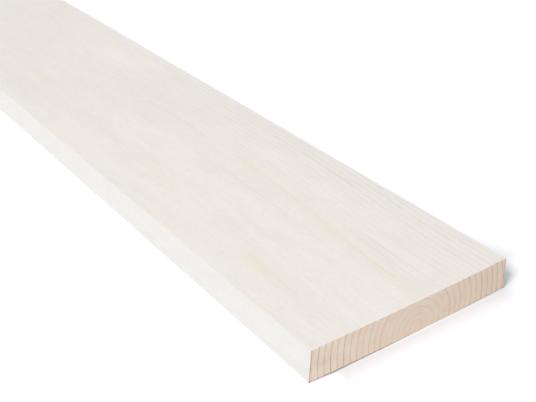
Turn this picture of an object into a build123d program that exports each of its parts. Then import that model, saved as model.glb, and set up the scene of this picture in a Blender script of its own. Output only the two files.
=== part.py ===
"""Planed softwood board, one piece of stock: eased long arrises, square-sawn ends, lying flat.

X runs along the board, Y across its width and Z up. The origin is on the underside, at its centre.
"""

import os

from build123d import *

# Driving dimensions, in millimetres
length = 1800.0
width = 145.0
thickness = 22.0
arris_radius = 0.5

# The board is planed on all four sides and its four long arrises are eased in the same pass,
# so one section runs the whole length and both ends are cut off square with crisp edges.
with BuildPart() as plank:
    with BuildSketch(Plane.YZ) as section:
        Rectangle(width, thickness, align=(Align.CENTER, Align.MIN))
        fillet(section.vertices(), radius=arris_radius)
    extrude(amount=length / 2, both=True)

plank.part.label = "plank"

os.makedirs("parts", exist_ok=True)
export_step(plank.part, "parts/plank.step")
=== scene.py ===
"""A planed, whitewashed spruce board lying on a white studio floor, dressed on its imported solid."""
import math

import bmesh
import bpy
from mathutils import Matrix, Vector


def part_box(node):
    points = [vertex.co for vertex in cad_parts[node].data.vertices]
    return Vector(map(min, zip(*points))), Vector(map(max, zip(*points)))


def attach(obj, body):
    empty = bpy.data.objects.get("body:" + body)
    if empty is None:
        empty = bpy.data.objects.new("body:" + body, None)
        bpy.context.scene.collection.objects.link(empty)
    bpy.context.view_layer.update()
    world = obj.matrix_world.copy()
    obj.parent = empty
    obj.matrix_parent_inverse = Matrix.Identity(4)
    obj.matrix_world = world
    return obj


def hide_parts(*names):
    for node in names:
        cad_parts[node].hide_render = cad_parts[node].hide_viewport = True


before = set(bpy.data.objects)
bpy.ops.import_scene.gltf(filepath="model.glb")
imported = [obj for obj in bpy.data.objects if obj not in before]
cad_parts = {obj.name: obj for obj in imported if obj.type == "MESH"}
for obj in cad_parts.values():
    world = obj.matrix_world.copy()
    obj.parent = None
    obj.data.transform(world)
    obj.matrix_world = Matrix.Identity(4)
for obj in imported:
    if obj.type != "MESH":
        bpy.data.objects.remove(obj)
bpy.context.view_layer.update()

# The board
# One length of spruce sawn through the heart of a log, planed on all four sides with its long arrises
# just eased, given a thin coat of white wash and then cut to length, so both ends are bare wood.
MM = 0.001
low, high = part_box("plank")
length, width, thickness = high - low
arris_radius = 0.5 * MM
arris_steps = 5
column_pitch = 0.75 * MM
row_pitch = 60 * MM
rows_by_the_saw_cut = [0.5 * MM, 1.5 * MM, 4 * MM, 12 * MM, 30 * MM]

bpy.ops.object.select_all(action="DESELECT")
bpy.ops.mesh.primitive_cube_add(size=1.0, location=(low + high) / 2)
board = bpy.context.object
board.name = "whitewashed_plank"
board.data.name = "whitewashed_plank"
board.scale = (length, width, thickness)
bpy.ops.object.transform_apply(location=True, rotation=True, scale=True)


def select_edges(wanted):
    """In edit mode, selects the edges whose two end points pass the test, and nothing else."""
    bpy.ops.mesh.select_mode(type="EDGE")
    bpy.ops.mesh.select_all(action="DESELECT")
    shape = bmesh.from_edit_mesh(board.data)
    for edge in shape.edges:
        edge.select_set(wanted(edge.verts[0].co, edge.verts[1].co))
    shape.select_flush_mode()
    bmesh.update_edit_mesh(board.data)


bpy.ops.object.mode_set(mode="EDIT")
select_edges(lambda a, b: abs(a.x - b.x) > length / 2)
bpy.ops.mesh.bevel(offset=arris_radius, segments=arris_steps, affect="EDGES")

flat_width = width - 2 * arris_radius
columns = 2 * round(flat_width / column_pitch / 2)
cuts_across = [flat_width * (i / columns - 0.5) for i in range(1, columns)]
rows = round(length / row_pitch)
cuts_along = [length * (i / rows - 0.5) for i in range(1, rows)]
for inset in rows_by_the_saw_cut:
    cuts_along += [low.x + inset, high.x - inset]
for place in cuts_along:
    bpy.ops.mesh.select_all(action="SELECT")
    bpy.ops.mesh.bisect(plane_co=(place, 0, 0), plane_no=(1, 0, 0))
for place in cuts_across:
    bpy.ops.mesh.select_all(action="SELECT")
    bpy.ops.mesh.bisect(plane_co=(0, place, 0), plane_no=(0, 1, 0))

# The saw leaves the fibres slightly ragged where it runs out, along the outline of each cut.
torn_rim = 0.8 * MM
torn_fibre = 0.2 * MM
torn_seed = 7
cut_outline_angle = math.radians(60)
select_edges(lambda a, b: min(abs(a.x), abs(b.x)) > length / 2 - torn_fibre)
bpy.ops.mesh.select_mode(type="FACE")
bpy.ops.mesh.inset(thickness=torn_rim)
bpy.ops.mesh.select_mode(type="EDGE")
bpy.ops.mesh.select_all(action="DESELECT")
bpy.ops.mesh.edges_select_sharp(sharpness=cut_outline_angle)
bpy.ops.transform.vertex_random(offset=torn_fibre, seed=torn_seed)

bpy.ops.mesh.select_all(action="SELECT")
bpy.ops.mesh.normals_make_consistent(inside=False)
bpy.ops.object.mode_set(mode="OBJECT")

# Drying has cupped the section away from the pith: the top has drawn hollow, the edges lean in, and the
# board rests on the middle of its underside with both edges off the floor.
top_hollow = 0.8 * MM
edge_lift = 1.4 * MM
edge_lean = 1.2 * MM
cup_points_across = 9
smooth_below = math.radians(40)
bpy.ops.object.add(type="LATTICE", location=(low + high) / 2)
cup = bpy.context.object
cup.scale = (length, width, thickness)
cup.data.points_u = 2
cup.data.points_v = cup_points_across
cup.data.points_w = 2
cup.data.interpolation_type_u = "KEY_LINEAR"
cup.data.interpolation_type_v = "KEY_CARDINAL"
cup.data.interpolation_type_w = "KEY_LINEAR"
for point in cup.data.points:
    reach = 2 * point.co.y
    if point.co.z > 0:
        point.co_deform.y -= reach * edge_lean / width
        point.co_deform.z -= (1 - reach ** 2) * top_hollow / thickness
    else:
        point.co_deform.z += reach ** 2 * edge_lift / thickness
bpy.ops.object.select_all(action="DESELECT")
board.select_set(True)
bpy.context.view_layer.objects.active = board
board.modifiers.new("cup", "LATTICE").object = cup
bpy.ops.object.modifier_apply(modifier="cup")
bpy.data.objects.remove(cup)

# No torn fibre stands out past the board's own box.
for vertex in board.data.vertices:
    for axis in range(3):
        vertex.co[axis] = min(max(vertex.co[axis], low[axis]), high[axis])
bpy.ops.object.shade_smooth_by_angle(angle=smooth_below)

# The map for baked textures: the wide faces and edges lie along it as strips, squeezed in length
# because grain changes slowly that way, and the two cut ends share the last strip at a larger scale.
# A strip is named by the axis and the side that its faces look to, and spans a share of the map's height.
strips = {
    (2, 1): (0.004, 0.372),
    (2, -1): (0.380, 0.748),
    (1, 1): (0.756, 0.812),
    (1, -1): (0.820, 0.876),
    (0, 1): (0.884, 0.996),
    (0, -1): (0.884, 0.996),
}
strip_ends = (0.004, 0.996)
cut_end_spans = {1: (0.004, 0.496), -1: (0.504, 0.996)}


def between(span, share):
    """The place that lies a share of the way from one end of a span to the other."""
    return span[0] + (span[1] - span[0]) * share


bake_map = board.data.uv_layers.new(name="OFBake")
for face in board.data.polygons:
    axis = max(range(3), key=lambda i: abs(face.normal[i]))
    side = 1 if face.normal[axis] > 0 else -1
    for corner in face.loop_indices:
        place = board.data.vertices[board.data.loops[corner].vertex_index].co
        along, across, up = [(place[i] - low[i]) / (high[i] - low[i]) for i in range(3)]
        if axis == 0:
            spot = (between(cut_end_spans[side], across), between(strips[axis, side], up))
        else:
            spot = (between(strip_ends, along), between(strips[axis, side], across if axis == 2 else up))
        bake_map.data[corner].uv = spot


def colour(code):
    """An sRGB hex colour as linear red, green, blue and alpha."""
    levels = [int(code[i:i + 2], 16) / 255 for i in (1, 3, 5)]
    return [c / 12.92 if c <= 0.04045 else ((c + 0.055) / 1.055) ** 2.4 for c in levels] + [1.0]


def add(tree, kind, *inputs, out=None, **settings):
    """Adds a node with its settings, and gives the named output or else the first that it shows.

    The values or links go, in order, to the inputs that the node shows with those settings.
    """
    node = tree.nodes.new("ShaderNode" + kind)
    for name, value in settings.items():
        setattr(node, name, value)
    shown = [socket for socket in node.inputs if socket.enabled]
    for socket, value in zip(shown, inputs):
        if isinstance(value, bpy.types.NodeSocket):
            tree.links.new(value, socket)
        else:
            socket.default_value = value
    return node.outputs[out] if out else next(socket for socket in node.outputs if socket.enabled)


def grain_noise(tree, place, along, across, detail=1.0, up=None):
    """Noise whose spots have a size along the grain, across it and, where it differs, upwards, in mm."""
    spots_per_mm = (1 / along, 1 / across, 1 / (up or across))
    stretched = add(tree, "VectorMath", place, spots_per_mm, operation="MULTIPLY")
    return add(tree, "TexNoise", stretched, 1.0, detail)


def new_material(name):
    """A new material, its nodes and its surface shader."""
    material = bpy.data.materials.new(name)
    material.use_nodes = True
    return material, material.node_tree, material.node_tree.nodes["Principled BSDF"]


# Growth rings, in millimetres: circles about the pith, which runs low in the board, a little right of its
# middle, bends aside by the cut and then sways. They make the arcs on the ends and the lines on the faces.
# On the left the tree grew faster above the pith, so the outer rings there centre higher.
ring_spacing = 4.269
first_ring = 0.881
pith_at_cut = (1.86, 4.15)
pith_bend = 7.5
pith_bend_from, pith_bend_to = 25, 175
pith_sway = 5.0
pith_sway_period = 1005.3
pith_rise = 2.5
pith_rise_period = 1319.5
left_rise = 5.7
left_rise_from, left_rise_to = -20, -55
bulges = ((400, 22, 1.2), (60, 2.5, 0.5))
spell_strength, spell_rate, spell_start = 0.065, 0.16, -1.727
ring_profile = ((0.5, 0.0), (0.78, 0.13), (0.93, 1.0), (0.98, 0.0))
year_seed = 45672
weakest_year, strongest_year = 0.4, 1.05
near_pith, far_from_pith = 5, 50
faint_stretch = (300, 9)
faintest = 0.55
noise_span = (0.3, 0.7)
smooth = {"interpolation_type": "SMOOTHSTEP"}


def growth_rings(tree, by_pith, by_bark):
    """Adds the rings, with their strength near the pith and far from it.

    Gives the place in mm, its three parts, the way from the near cut, and the share of latewood.
    """
    here = add(tree, "TexCoord", out="Object")
    place = add(tree, "VectorMath", here, 1 / MM, operation="SCALE")
    parts = add(tree, "SeparateXYZ", place).node.outputs
    along = add(tree, "Math", high.x / MM, parts["X"], operation="SUBTRACT")

    # The way across from the pith, the height above it, and the radius that they give
    bend = add(tree, "MapRange", along, pith_bend_from, pith_bend_to, 0.0, pith_bend, **smooth)
    bend = add(tree, "Math", bend, pith_at_cut[0], operation="ADD")
    sway = add(tree, "Math", along, pith_bend_to, operation="SUBTRACT")
    sway = add(tree, "Math", sway, 0.0, operation="MAXIMUM")
    sway = add(tree, "Math", sway, math.tau / pith_sway_period, operation="MULTIPLY")
    sway = add(tree, "Math", sway, operation="COSINE")
    sway = add(tree, "Math", sway, 1.0, operation="SUBTRACT")
    pith_across = add(tree, "Math", sway, pith_sway, bend, operation="MULTIPLY_ADD")
    across = add(tree, "Math", parts["Y"], pith_across, operation="SUBTRACT")
    rise = add(tree, "Math", along, math.tau / pith_rise_period, operation="MULTIPLY")
    rise = add(tree, "Math", rise, operation="SINE")
    pith_height = add(tree, "Math", rise, pith_rise, pith_at_cut[1], operation="MULTIPLY_ADD")
    higher = add(tree, "MapRange", across, left_rise_from, left_rise_to, 0.0, left_rise)
    pith_height = add(tree, "Math", pith_height, higher, operation="ADD")
    above = add(tree, "Math", parts["Z"], pith_height, operation="SUBTRACT")
    radius = add(tree, "VectorMath", add(tree, "CombineXYZ", 0.0, across, above), operation="LENGTH")

    # Slow bulges in the rings, and fine wavering of each line, both long in the direction of the grain
    for size_along, size_across, amount in bulges:
        bulge = grain_noise(tree, place, size_along, size_across)
        bulge = add(tree, "MapRange", bulge, 0, 1, -amount / 2, amount / 2)
        radius = add(tree, "Math", radius, bulge, operation="ADD")
    # Runs of wide rings and of narrow ones
    spell = add(tree, "Math", radius, spell_rate, spell_start, operation="MULTIPLY_ADD")
    spell = add(tree, "Math", spell, operation="SINE")
    count_at_pith = first_ring - spell_strength
    count = add(tree, "Math", radius, 1 / ring_spacing, count_at_pith, operation="MULTIPLY_ADD")
    count = add(tree, "Math", spell, -spell_strength, count, operation="MULTIPLY_ADD")

    # Each ring starts pale and open, darkens over its second half and ends sharply
    late = add(tree, "ValToRGB", add(tree, "Math", count, operation="FRACT"))
    stops = late.node.color_ramp.elements
    while len(stops) < len(ring_profile):
        stops.new(1.0)
    for stop, (position, level) in zip(stops, ring_profile):
        stop.position = position
        stop.color = (level, level, level, 1)

    # Some years are stronger than others, rings near the pith are faint, and every line has faint stretches
    year = add(tree, "Math", add(tree, "Math", count, operation="FLOOR"), year_seed, operation="ADD")
    vigour = add(tree, "TexWhiteNoise", year, noise_dimensions="1D")
    vigour = add(tree, "MapRange", vigour, 0, 1, weakest_year, strongest_year)
    age = add(tree, "MapRange", radius, near_pith, far_from_pith, by_pith, by_bark)
    patchy = add(tree, "MapRange", grain_noise(tree, place, *faint_stretch), *noise_span, faintest, 1.0)
    latewood = late
    for share in (vigour, age, patchy):
        latewood = add(tree, "Math", latewood, share, operation="MULTIPLY")
    return place, parts, along, latewood


# Planed spruce under a thin white wash: matt, warm white, with the growth rings, long yellow streaks
# and fine fibres just showing through. On the long edges the wash is painted a cooler grey as shade against
# the main light, and the arrises are rubbed thin and painted darker as shade against their highlight.
wash_on_face = "#f4efe8"
thin_wash = "#efeae3"
wash_shaded_on_edge = "#e3e1dd"
late_under_wash = "#c8beb0"
streak_under_wash = "#f1deb8"
rubbed_and_shaded_arris = "#dcd7d0"

# Sizes of the patterns in the wash, along the grain and across it, in millimetres
wash_patch = (170, 30)
broken_line = (22, 1.3)
faint_streak = (420, 11)
streak_spot = (26, 3.5)
rubbed_shade_spot = (30, 6)
fibre_size = (11, 0.7)
tuft_size = (3.5, 0.9)
mottle_size = (40, 9)
speck_spacing = (26, 17)

# How the wash changes along the board, in millimetres from the near cut, and by how much
thinner_per_mm_right = 0.006
lean_ends = (100, 400)
thinner_ends, thinner_further_on = (430, 640), 0.45
covered_ends, rings_further_on = (120, 440), 0.4
faint_streaks_from = (480, 640)

# What shows through the wash: levels of a noise and what they become, then strengths on a face and an edge
patch_shares = (0.2, 0.8, 0.12, 1.0)
broken_shares = (0.3, 0.65, 0.25, 1.0)
faint_streak_levels = (0.58, 0.75)
uneven_shares = (0.2, 0.9)
rubbed_shade_shares = (0.6, 1.0)
rings_on_face, rings_on_edge = 0.78, 0.15
yellow_on_face, yellow_on_edge = 0.4, 0.0

# How far a surface turns sideways as an edge and as an arris, and the shades and relief of the fibres
edge_turn = (0.5, 0.9)
arris_turn = (0.15, 0.4)
shade_shares = (0.95, 1.05)
speck_size_share, speck_rim_share, speck_shade = 0.012, 0.03, 0.86
wash_roughness = (0.5, 0.7)
fibre_relief = 0.008 * MM
ring_relief_share = 0.5

# Yellow streaks, in millimetres: where each starts and ends along the board from the near cut, how far it
# lies from the left edge at those two places, and half its width. The last number is its strength.
streak_fade = 40
streak_softness = 1.6
streaks_by_the_cut = (
    (-60, 225, 73, 94.5, 5.5, 0.55),
    (35, 125, 23.5, 26, 5.5, 0.65),
    (135, 275, 20, 46, 6, 0.45),
    (250, 395, 30, 46, 7, 0.4),
    (355, 490, 46, 32, 7, 0.5),
)


def whitewashed_spruce():
    """The finish of the faces and long edges."""
    material, tree, surface = new_material("planed_spruce_whitewashed")
    place, parts, along, latewood = growth_rings(tree, by_pith=0.65, by_bark=1.0)

    facing = add(tree, "SeparateXYZ", add(tree, "TexCoord", out="Normal")).node.outputs
    sideways = add(tree, "Math", facing["Y"], operation="ABSOLUTE")
    edge = add(tree, "MapRange", sideways, *edge_turn, **smooth)
    turning = add(tree, "Math", facing["Y"], facing["Z"], operation="MULTIPLY")
    turning = add(tree, "Math", turning, operation="ABSOLUTE")
    arris = add(tree, "MapRange", turning, *arris_turn, **smooth)

    # By the cut the wash is thin, and so darker, mostly towards the right. Further on it is thin all over
    patches = grain_noise(tree, place, *wash_patch)
    lean = add(tree, "MapRange", along, *lean_ends, thinner_per_mm_right, 0.0)
    further_on = add(tree, "MapRange", along, *thinner_ends, 0.0, thinner_further_on)
    thin = add(tree, "Math", patches, further_on, operation="ADD")
    thin = add(tree, "Math", parts["Y"], lean, thin, operation="MULTIPLY_ADD")
    thin = add(tree, "MapRange", thin, *patch_shares, **smooth)
    wash = add(tree, "Mix", thin, colour(wash_on_face), colour(thin_wash), data_type="RGBA")
    # Painted shade: the long edges get a greyer wash that offsets the stronger main light on them
    wash = add(tree, "Mix", edge, wash, colour(wash_shaded_on_edge), data_type="RGBA")

    # The rings show as broken lines, most towards the right, less further on and least on the edges
    shows = add(tree, "Math", parts["Y"], thinner_per_mm_right, patches, operation="MULTIPLY_ADD")
    shows = add(tree, "MapRange", shows, *patch_shares, **smooth)
    broken = add(tree, "MapRange", grain_noise(tree, place, *broken_line), *broken_shares, **smooth)
    covered = add(tree, "MapRange", along, *covered_ends, 1.0, rings_further_on)
    by_side = add(tree, "MapRange", edge, 0, 1, rings_on_face, rings_on_edge)
    for share in (latewood, broken, covered, by_side):
        shows = add(tree, "Math", shows, share, operation="MULTIPLY")
    wash = add(tree, "Mix", shows, wash, colour(late_under_wash), data_type="RGBA")

    # Yellow streaks by the near cut, then others over the rest of the board
    yellow = add(tree, "MapRange", grain_noise(tree, place, *faint_streak), *faint_streak_levels, **smooth)
    beyond = add(tree, "MapRange", along, *faint_streaks_from, **smooth)
    yellow = add(tree, "Math", yellow, beyond, operation="MULTIPLY")
    for start, end, from_left, to_left, half_width, strength in streaks_by_the_cut:
        slope = (to_left - from_left) / (end - start)
        middle_at_cut = low.y / MM + from_left - slope * start
        middle = add(tree, "Math", along, slope, middle_at_cut, operation="MULTIPLY_ADD")
        aside = add(tree, "Math", parts["Y"], middle, operation="SUBTRACT")
        aside = add(tree, "Math", aside, operation="ABSOLUTE")
        fade = min(streak_fade, (end - start) / 2)
        streak = add(tree, "MapRange", aside, 0, streak_softness * half_width, strength, 0, **smooth)
        comes = add(tree, "MapRange", along, start, start + fade, **smooth)
        goes = add(tree, "MapRange", along, end - fade, end, 1, 0, **smooth)
        for share in (comes, goes):
            streak = add(tree, "Math", streak, share, operation="MULTIPLY")
        yellow = add(tree, "Math", yellow, streak, operation="MAXIMUM")
    uneven = grain_noise(tree, place, *streak_spot, detail=2.0)
    uneven = add(tree, "MapRange", uneven, *noise_span, *uneven_shares, **smooth)
    by_side = add(tree, "MapRange", edge, 0, 1, yellow_on_face, yellow_on_edge)
    for share in (uneven, by_side):
        yellow = add(tree, "Math", yellow, share, operation="MULTIPLY")
    wash = add(tree, "Mix", yellow, wash, colour(streak_under_wash), data_type="RGBA")

    # The arrises are rubbed thin, unevenly, and painted darker as shade against the highlight the main light
    # puts on them
    rubbed_and_shaded = grain_noise(tree, place, *rubbed_shade_spot, detail=2.0)
    rubbed_and_shaded = add(tree, "MapRange", rubbed_and_shaded, *noise_span, *rubbed_shade_shares)
    rubbed_and_shaded = add(tree, "Math", rubbed_and_shaded, arris, operation="MULTIPLY")
    wash = add(tree, "Mix", rubbed_and_shaded, wash, colour(rubbed_and_shaded_arris), data_type="RGBA")

    # Fine fibres, short tufts, a slow mottle and a few specks, each a shade lighter or darker
    fibre = grain_noise(tree, place, *fibre_size, detail=2.0)
    tuft = grain_noise(tree, place, *tuft_size)
    mottle = grain_noise(tree, place, *mottle_size, detail=3.0)
    cells_per_mm = (1 / speck_spacing[0], 1 / speck_spacing[1], 1 / speck_spacing[1])
    cells = add(tree, "VectorMath", place, cells_per_mm, operation="MULTIPLY")
    speck = add(tree, "TexVoronoi", cells, 1.0)
    shades = [add(tree, "MapRange", pattern, 0, 1, *shade_shares) for pattern in (fibre, tuft, mottle)]
    shades.append(add(tree, "MapRange", speck, speck_size_share, speck_rim_share, speck_shade, 1.0))
    for shade in shades:
        wash = add(tree, "VectorMath", wash, shade, operation="SCALE")
    tree.links.new(wash, surface.inputs["Base Color"])
    tree.links.new(add(tree, "MapRange", fibre, 0, 1, *wash_roughness), surface.inputs["Roughness"])

    relief = add(tree, "Bump", 1.0, fibre_relief)
    height = add(tree, "Math", latewood, ring_relief_share, fibre, operation="MULTIPLY_ADD")
    tree.links.new(height, relief.node.inputs["Height"])
    tree.links.new(relief, surface.inputs["Normal"])
    return material


# Bare spruce as the saw left it: pinkish tan with warmer patches, the yearly rings as thin warm brown
# lines and faint slanting saw marks, with painted shade darker towards the right, and a painted brown
# shadow along the lower edge, most on the left, where the board stands off the floor.
early_wood = "#f5e5d5"
early_wood_shaded_right = "#ead6c5"
warm_wood = "#e9cdb5"
late_wood = "#b48f66"
painted_gap_shadow = "#98795a"

# Sizes in millimetres: a pattern's spots along the grain and across it, then places on the cut
warm_patch = (50, 8)
gap_shadow_spot = (50, 2.2)
torn_spot = (50, 0.5)
torn_spot_up = 4
saw_marks_per_mm = 0.9
darker_to_the_right = (-60, 60)
pale_rim = (high.y / MM - 2.2, high.y / MM - 1.2)
gap_shadow_ragged = 0.9
gap_shadow_height = (1.5, 0.7)
gap_shadow_ends = (-30, 10)

# Shares of the colours, and the shades and relief that the saw left
warm_levels, warm_share = (0.4, 0.8), 0.6
rings_in_rim = 0.15
gap_shadow_on_left, gap_shadow_on_right = 0.8, 0.1
saw_slant = (0, 0.6, 0.8)
torn_shades = (0.97, 1.03)
saw_mark_shades = (0.98, 1.02)
sawn_roughness = 0.8
torn_relief = 0.02 * MM
saw_mark_relief_share = 1.5


def sawn_end_grain():
    """The finish of the two cut ends."""
    material, tree, surface = new_material("spruce_end_grain_sawn")
    place, parts, _, latewood = growth_rings(tree, by_pith=0.35, by_bark=0.85)

    # Painted shade: the cut end darkens towards the right, away from the main light
    right = add(tree, "MapRange", parts["Y"], *darker_to_the_right)
    wood = add(tree, "Mix", right, colour(early_wood), colour(early_wood_shaded_right), data_type="RGBA")
    warm = grain_noise(tree, place, *warm_patch, detail=2.0)
    warm = add(tree, "MapRange", warm, *warm_levels, 0.0, warm_share)
    wood = add(tree, "Mix", warm, wood, colour(warm_wood), data_type="RGBA")

    # The rings fade out just short of the two long edges, which lean in
    rim = add(tree, "Math", parts["Y"], operation="ABSOLUTE")
    rim = add(tree, "Math", parts["Z"], edge_lean / thickness, rim, operation="MULTIPLY_ADD")
    rim = add(tree, "MapRange", rim, *pale_rim, 1.0, rings_in_rim)
    latewood = add(tree, "Math", latewood, rim, operation="MULTIPLY")
    wood = add(tree, "Mix", latewood, wood, colour(late_wood), data_type="RGBA")

    # The underside curves up from the middle to the edges. Painted brown shadow follows it along the lower
    # edge of the cut, where the board stands off the floor, strongest on the left and with a ragged top.
    curve = add(tree, "Math", parts["Y"], parts["Y"], operation="MULTIPLY")
    lift = edge_lift / MM / (high.y / MM) ** 2
    ragged = grain_noise(tree, place, *gap_shadow_spot, detail=2.0)
    ragged = add(tree, "MapRange", ragged, 0, 1, 0, gap_shadow_ragged)
    over_underside = add(tree, "Math", parts["Z"], ragged, operation="ADD")
    over_underside = add(tree, "Math", curve, -lift, over_underside, operation="MULTIPLY_ADD")
    gap_shadow = add(tree, "MapRange", over_underside, *gap_shadow_height)
    by_side = add(tree, "MapRange", parts["Y"], *gap_shadow_ends, gap_shadow_on_left, gap_shadow_on_right)
    gap_shadow = add(tree, "Math", gap_shadow, by_side, operation="MULTIPLY")
    wood = add(tree, "Mix", gap_shadow, wood, colour(painted_gap_shadow), data_type="RGBA")

    # Torn fibres and the marks of the saw's teeth, each a shade lighter or darker
    torn = grain_noise(tree, place, *torn_spot, detail=2.0, up=torn_spot_up)
    slant = add(tree, "VectorMath", place, saw_slant, operation="DOT_PRODUCT")
    saw_mark = add(tree, "TexNoise", slant, saw_marks_per_mm, 1.0, noise_dimensions="1D")
    for pattern, shades in ((torn, torn_shades), (saw_mark, saw_mark_shades)):
        shade = add(tree, "MapRange", pattern, 0, 1, *shades)
        wood = add(tree, "VectorMath", wood, shade, operation="SCALE")
    tree.links.new(wood, surface.inputs["Base Color"])
    surface.inputs["Roughness"].default_value = sawn_roughness

    relief = add(tree, "Bump", 1.0, torn_relief)
    height = add(tree, "Math", saw_mark, saw_mark_relief_share, torn, operation="MULTIPLY_ADD")
    tree.links.new(height, relief.node.inputs["Height"])
    tree.links.new(relief, surface.inputs["Normal"])
    return material


cut_facing = 0.8
board.data.materials.append(whitewashed_spruce())
board.data.materials.append(sawn_end_grain())
for face in board.data.polygons:
    face.material_index = 1 if abs(face.normal.x) > cut_facing else 0

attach(board, "root")
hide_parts("plank")

# The studio floor: a sweep of matt white paper under the board. To the camera it glows up to white away
# from the board and on its left, and keeps the soft shadow on the right and in front of the cut.
floor_size = 60.0
paper_white = "#e9e9e9"
paper_white_seen = "#e8e9ec"
white_from, white_at = 60 * MM, 500 * MM
white_on_left_from, white_on_left_at = 25 * MM - width, -5 * MM - width

# Three slopes of glow out of the shadow, painting where it fades to white: in front of the cut, on the
# right, and off the corner between them. Each has a direction and a start and end past the board's outline,
# in mm.
# The direction on the right is tilted, so that shadow narrows back from the cut, over the slopes' depth.
slope_glow = 0.45
slope_depth = 60 * MM
slopes = (
    ((1, 0, 0), 1, 29),
    ((-0.25, 1, 0), 28, 57),
    ((0.754, 0.656, 0), -2.5, 17.5),
)

# Painted light under the cut, where the board stands off the floor: a narrow strip just behind it glows to
# the camera
gap_glow = 0.267
gap_middle = 2 * MM
gap_reach = 4 * MM
gap_end, gap_full = 3 * MM, -1 * MM


def seen_directly(tree):
    """1 where the camera sees a thing straight, mirrored or through glass, and otherwise 0."""
    rays = add(tree, "LightPath").node.outputs
    seen = add(tree, "Math", rays["Is Camera Ray"], rays["Is Glossy Ray"], operation="MAXIMUM")
    return add(tree, "Math", seen, rays["Is Transmission Ray"], operation="MAXIMUM")


bpy.ops.mesh.primitive_plane_add(size=floor_size, location=(0, 0, 0))
floor = bpy.context.object
floor.name = "studio_floor"
paper, tree, surface = new_material("white_paper_sweep")
surface.inputs["Roughness"].default_value = 1.0
surface.inputs["Specular IOR Level"].default_value = 0.0
surface.inputs["Emission Color"].default_value = (1, 1, 1, 1)

# The way past the board's outline, along and across it, which is below zero under the board
here = add(tree, "TexCoord", out="Object")
past_high = add(tree, "VectorMath", here, (high.x, high.y, 0), operation="SUBTRACT")
past_low = add(tree, "VectorMath", (low.x, low.y, 0), here, operation="SUBTRACT")
past = add(tree, "VectorMath", past_high, past_low, operation="MAXIMUM")
past = add(tree, "VectorMath", past, (-slope_depth, -slope_depth, 0), operation="MAXIMUM")
away = add(tree, "VectorMath", past, (0, 0, 0), operation="MAXIMUM")
away = add(tree, "VectorMath", away, operation="LENGTH")
glow = add(tree, "MapRange", away, white_from, white_at)
for way, start, end in slopes:
    reach = add(tree, "VectorMath", past, way, operation="DOT_PRODUCT")
    slope = add(tree, "MapRange", reach, start * MM, end * MM, 0, slope_glow)
    glow = add(tree, "Math", glow, slope, operation="MAXIMUM")

# The left side and the strip under the cut, measured from the right corner of the cut
from_corner = add(tree, "SeparateXYZ", past_high).node.outputs
on_the_left = add(tree, "MapRange", from_corner["Y"], white_on_left_from, white_on_left_at, **smooth)
behind_cut = add(tree, "Math", from_corner["X"], gap_middle, operation="ADD")
behind_cut = add(tree, "Math", behind_cut, operation="ABSOLUTE")
behind_cut = add(tree, "MapRange", behind_cut, gap_reach, 0, 0, gap_glow)
under_cut = add(tree, "MapRange", from_corner["Y"], gap_end, gap_full)
under_cut = add(tree, "Math", behind_cut, under_cut, operation="MULTIPLY")
for whiter in (on_the_left, under_cut):
    glow = add(tree, "Math", glow, whiter, operation="MAXIMUM")

seen = seen_directly(tree)
glow = add(tree, "Math", seen, glow, operation="MULTIPLY")
tree.links.new(glow, surface.inputs["Emission Strength"])
white = add(tree, "Mix", seen, colour(paper_white), colour(paper_white_seen), data_type="RGBA")
tree.links.new(white, surface.inputs["Base Color"])
floor.data.materials.append(paper)

# Studio light: a dim white surround, the main soft box high on the left, weak ones overhead and in front,
# and a reflector on the right. Each level is the light that a white card facing the box gets.
surround_level = 0.26
surround = bpy.data.worlds.new("white_surround")
surround.use_nodes = True
bpy.context.scene.world = surround
tree = surround.node_tree
brightness = add(tree, "MapRange", seen_directly(tree), 0, 1, surround_level, 1.0)
tree.nodes["Background"].inputs["Color"].default_value = (1, 1, 1, 1)
tree.links.new(brightness, tree.nodes["Background"].inputs["Strength"])

lit_spot = Vector((high.x - 300 * MM, 0, 0))
for name, way, level, distance, size in (
    ("main_soft_box", (0.26, -0.70, 0.74), 0.74, 8.0, 2.2),
    ("overhead_soft_box", (-0.15, -0.35, 0.92), 0.075, 6.0, 2.5),
    ("front_soft_box", (0.92, -0.30, 0.25), 0.085, 6.0, 2.5),
    ("right_reflector", (0.20, 0.92, 0.35), 0.22, 6.0, 2.5),
):
    toward = Vector(way).normalized()
    bpy.ops.object.light_add(type="AREA", location=lit_spot + toward * distance)
    soft_box = bpy.context.object
    soft_box.name = name
    soft_box.rotation_euler = toward.to_track_quat("Z", "Y").to_euler()
    soft_box.data.energy = level * (math.pi * distance) ** 2
    soft_box.data.size = size

# Camera: left of the board and in front of its cut end, looking down along it, as in the photograph.
camera_ahead = 273.07 * MM
camera_aside = 221.27 * MM
camera_height = 308.76 * MM
camera_turn = math.radians(35.696)
camera_dip = math.radians(29.777)
camera_lens = 60.652
camera_sensor = 36.0
bpy.ops.object.camera_add(location=(high.x + camera_ahead, low.y - camera_aside, camera_height))
camera = bpy.context.object
camera.name = "camera"
sight = Vector((
    -math.cos(camera_turn) * math.cos(camera_dip),
    math.sin(camera_turn) * math.cos(camera_dip),
    -math.sin(camera_dip),
))
camera.rotation_euler = sight.to_track_quat("-Z", "Y").to_euler()
camera.data.lens = camera_lens
camera.data.sensor_width = camera_sensor
bpy.context.scene.camera = camera

bpy.context.scene.view_settings.view_transform = "Standard"
